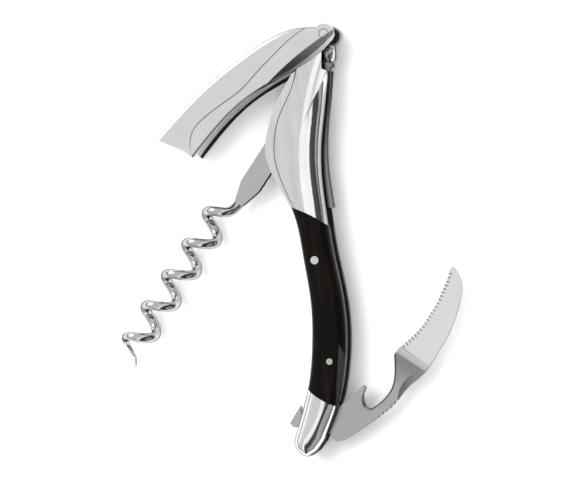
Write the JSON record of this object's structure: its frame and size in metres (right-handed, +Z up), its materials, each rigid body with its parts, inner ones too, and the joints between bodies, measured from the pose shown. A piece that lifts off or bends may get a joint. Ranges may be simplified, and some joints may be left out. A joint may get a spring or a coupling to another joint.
{
  "type": "lever corkscrew",
  "caption": "Folding lever corkscrew with a slim horn-scaled handle, bottle-rim lever, screw, and a serrated foil knife with a bottle-opener notch.",
  "frame": {"origin": "middle of the footprint as shown, on the surface that the lower cheek lies on", "axes": "+Z up through the two cheeks, +Y along the handle towards the lever's hinge, -X on the side of the screw and +X on the side of the knife"},
  "size_m": [0.0991, 0.123, 0.015],
  "materials": {
    "horn": "polished dark horn",
    "polished_bolster": "mirror-polished steel",
    "polished_lever": "mirror-polished steel",
    "polished_worm": "polished steel wire",
    "satin_blade": "satin-ground steel",
    "spring_steel": "satin spring steel",
    "liner_steel": "satin steel plate",
    "rivet_steel": "polished rivet",
    "pin_steel": "turned steel pin"
  },
  "bodies": {
    "handle": {"front_liner": "liner_steel", "back_liner": "liner_steel", "front_scale": "horn", "back_scale": "horn", "front_head_bolster": "polished_bolster", "back_head_bolster": "polished_bolster", "front_tail_bolster": "polished_bolster", "back_tail_bolster": "polished_bolster", "upper_scale_rivet": "rivet_steel", "lower_scale_rivet": "rivet_steel", "centre_spacer": "spring_steel", "spacer_pins": "pin_steel", "worm_pin": "pin_steel", "knife_pin": "pin_steel", "worm_spring_pin": "pin_steel", "head_bolster_pins": "pin_steel", "tail_bolster_pins": "pin_steel"},
    "lever_hinge": {"lever_pin": "pin_steel"},
    "lever_arm": {"lever": "polished_lever"},
    "screw": {"worm": "polished_worm"},
    "blade": {"knife": "satin_blade"},
    "screw_spring": {"worm_spring": "spring_steel"},
    "blade_spring": {"knife_spring": "spring_steel"}
  },
  "joints": [
    {"name": "worm_fold", "type": "hinge", "parent": "handle", "child": "screw", "pos_m": [0.00305, 0.0371, 0.0075], "axis": [0, 0, 1], "range_deg": [-59, 31]},
    {"name": "lever_carry", "type": "hinge", "parent": "handle", "child": "lever_hinge", "pos_m": [0.0109, 0.0582, 0.0075], "axis": [0, 0, 1], "range_deg": [-29.5, 15.5]},
    {"name": "lever_swing", "type": "hinge", "parent": "lever_hinge", "child": "lever_arm", "pos_m": [0.0109, 0.0582, 0.0075], "axis": [0, 0, 1], "range_deg": [-70.5, 20.5]},
    {"name": "knife_fold", "type": "hinge", "parent": "handle", "child": "blade", "pos_m": [0.0082, -0.0534, 0.0075], "axis": [0, 0, 1], "range_deg": [-134, 41]},
    {"name": "worm_spring_flex", "type": "hinge", "parent": "handle", "child": "screw_spring", "pos_m": [0.0076, 0.0514, 0.0075], "axis": [0, 0, -1], "range_deg": [0, 2.3], "stiffness_Nm_per_rad": 0.5, "springref_deg": 2.3},
    {"name": "knife_spring_flex", "type": "hinge", "parent": "handle", "child": "blade_spring", "pos_m": [0.0083, -0.006, 0.0075], "axis": [0, 0, 1], "range_deg": [0, 1], "stiffness_Nm_per_rad": 0.5, "springref_deg": 1}
  ],
  "couplings": [
    {"joint": "lever_carry", "follows": "worm_fold", "ratio": 0.5}
  ]
}
